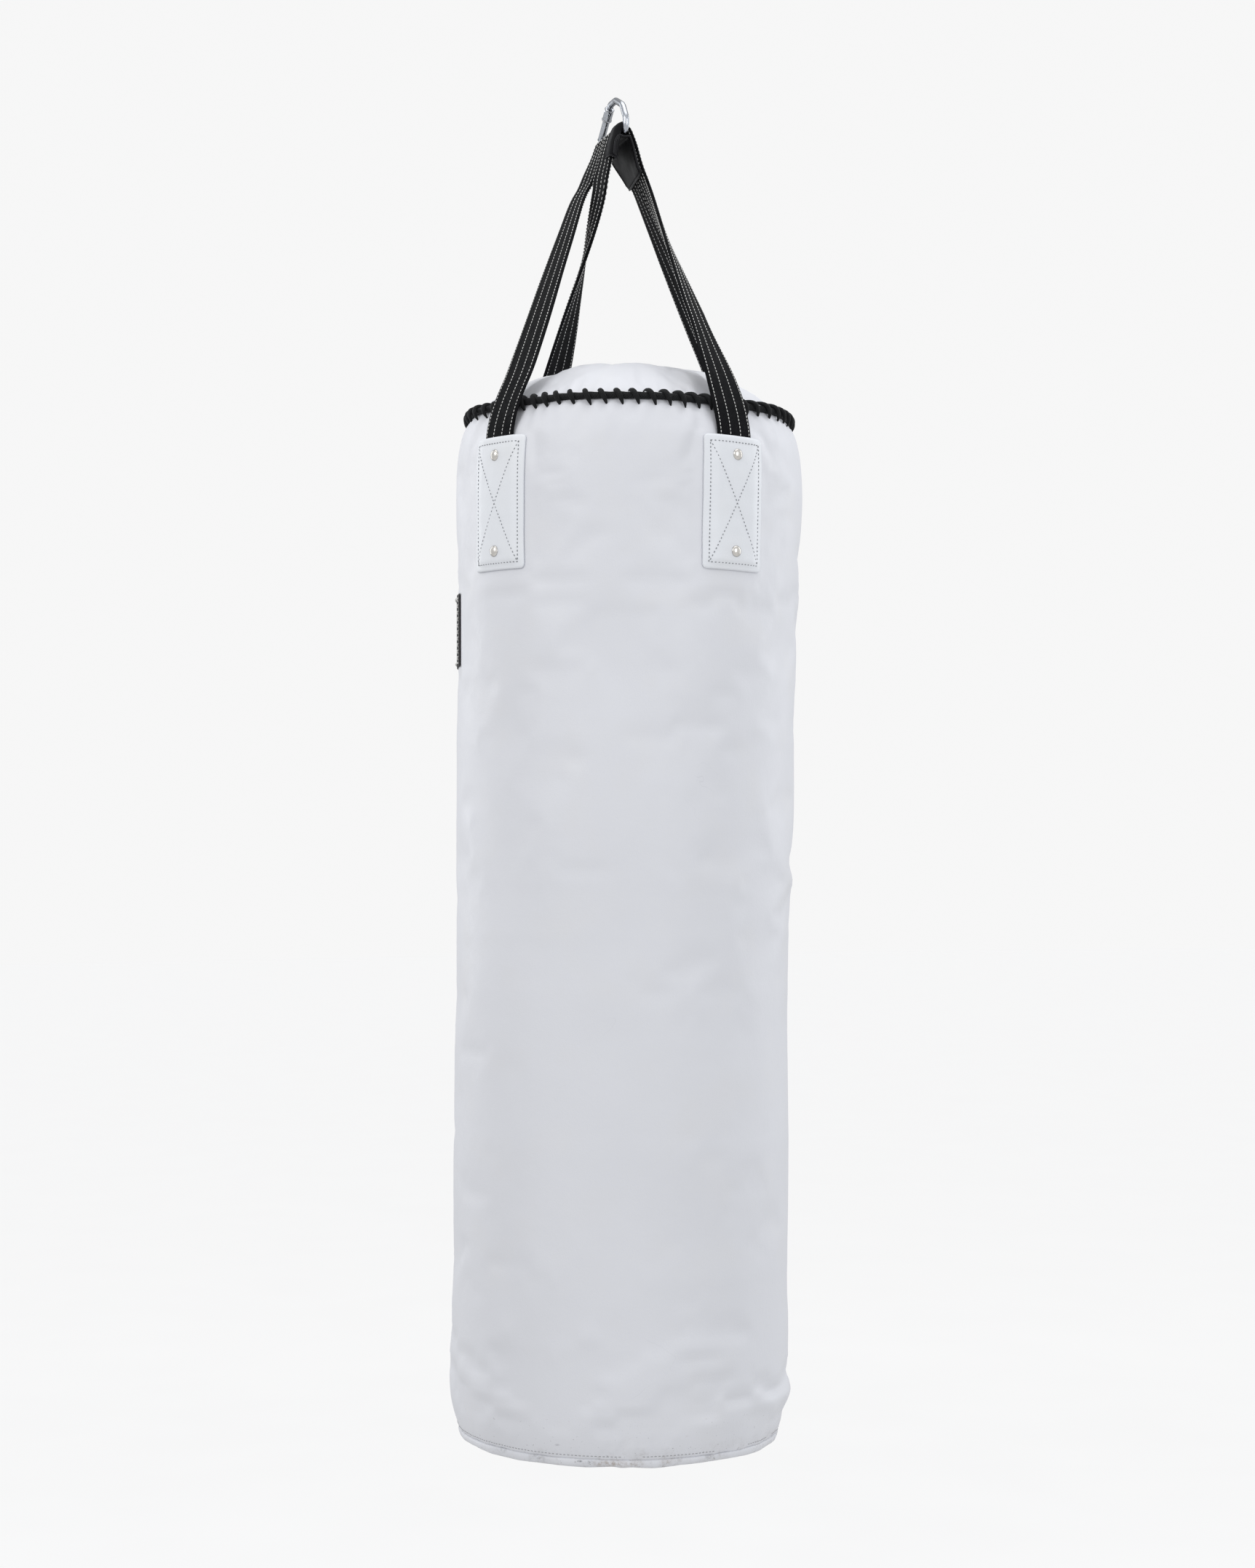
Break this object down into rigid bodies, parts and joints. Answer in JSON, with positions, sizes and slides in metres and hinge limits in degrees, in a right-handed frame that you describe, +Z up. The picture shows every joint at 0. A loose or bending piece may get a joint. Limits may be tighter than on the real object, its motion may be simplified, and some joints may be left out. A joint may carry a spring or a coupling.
{
  "type": "hanging punch bag",
  "caption": "Tall padded cylinder punch bag hung by webbing straps that meet in a leather saddle on a triangular spring-gate hook, for a ceiling eye.",
  "frame": {"origin": "inside top of the hook, on the short straight run of wire that rests on the ceiling eye; the bag hangs below it", "axes": "+Z up against gravity; -Y towards the front of the bag, +X to the bag's right side as seen from the front; the hook's plane is turned 25 degrees about +Z"},
  "size_m": [0.4039, 0.3834, 1.5045],
  "materials": {
    "white_shell": "cool white coated leather, semi-matte",
    "white_leather": "white leather, semi-matte, stitched",
    "webbing": "black woven webbing with white contrast stitching",
    "lace_black": "black round cord",
    "leather_black": "smooth black leather",
    "zinc": "bright zinc-plated steel wire",
    "spring_steel": "bare spring steel",
    "nickel": "nickel-plated rivets and washers",
    "label_black": "blank black sewn label",
    "foam": "soft foam padding",
    "textile": "packed textile offcuts"
  },
  "bodies": {
    "hook": {"hook_body": "zinc", "gate_pin": "zinc", "latch_pin": "zinc"},
    "gate": {"hook_gate": "zinc", "gate_plunger": "spring_steel", "gate_spring": "spring_steel"},
    "sling": {"strap_bl_fr": "webbing", "strap_fl_br": "webbing", "saddle": "leather_black"},
    "bag": {"shell_wall": "white_shell", "top_cap": "white_shell", "bottom_panel": "white_shell", "bottom_welt": "white_shell", "lace_core": "lace_black", "lace_cord": "lace_black", "foam_liner": "foam", "base_pad": "foam", "textile_fill": "textile", "top_pad": "foam", "label": "label_black", "patch_fl": "white_leather", "patch_fr": "white_leather", "patch_bl": "white_leather", "patch_br": "white_leather", "rivet_fl_1": "nickel", "rivet_fl_2": "nickel", "rivet_fr_1": "nickel", "rivet_fr_2": "nickel", "rivet_bl_1": "nickel", "rivet_bl_2": "nickel", "rivet_br_1": "nickel", "rivet_br_2": "nickel", "washer_fl_1": "nickel", "washer_fl_2": "nickel", "washer_fr_1": "nickel", "washer_fr_2": "nickel", "washer_bl_1": "nickel", "washer_bl_2": "nickel", "washer_br_1": "nickel", "washer_br_2": "nickel"}
  },
  "joints": [
    {"name": "gate_hinge", "type": "hinge", "parent": "hook", "child": "gate", "pos_m": [-0.0186, 0.03988, -0.0264], "axis": [0.9063, 0.4226, 0], "range_deg": [0, 25], "stiffness_Nm_per_rad": 0.05},
    {"name": "bar_swing", "type": "hinge", "parent": "hook", "child": "sling", "pos_m": [0, 0, -0.0384], "axis": [-0.4226, 0.9063, 0], "range_deg": [-45, 45]},
    {"name": "strap_twist", "type": "hinge", "parent": "sling", "child": "bag", "pos_m": [0, 0, -0.3], "axis": [0, 0, 1], "range_deg": [-40, 40], "deforming": ["strap_bl_fr", "strap_fl_br"]}
  ]
}
